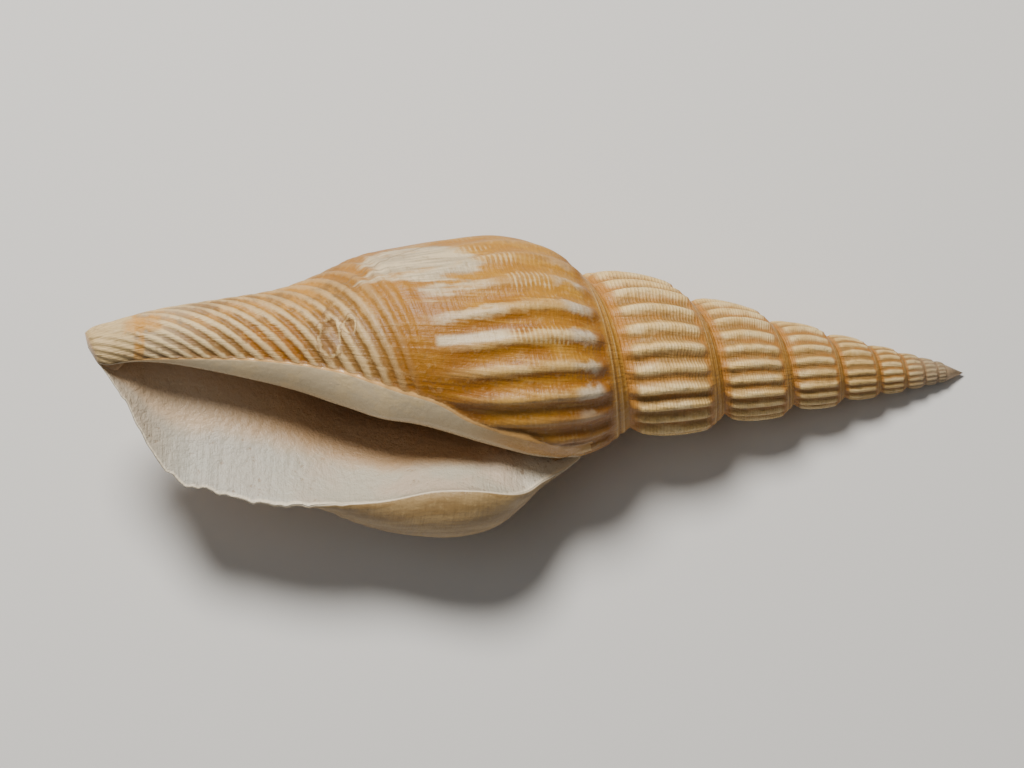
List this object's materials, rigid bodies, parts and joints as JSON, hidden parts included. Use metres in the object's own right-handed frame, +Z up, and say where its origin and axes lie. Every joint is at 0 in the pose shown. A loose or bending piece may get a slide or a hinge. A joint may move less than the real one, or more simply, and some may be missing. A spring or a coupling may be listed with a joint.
{
  "type": "conch shell",
  "caption": "Slender right-handed conch shell with a tall ribbed spire, fine spiral lines, a flared lip and an open, hollow mouth, lying on its back.",
  "frame": {"origin": "middle of the bounding box in X and Y, on the surface that the shell rests on", "axes": "+X towards the apex, level with the surface below; +Z up, out of the mouth; -Y towards the flared lip"},
  "size_m": [0.077, 0.0268, 0.0202],
  "materials": {
    "shell": "satin"
  },
  "bodies": {
    "root": {"shell": "shell"}
  },
  "joints": []
}
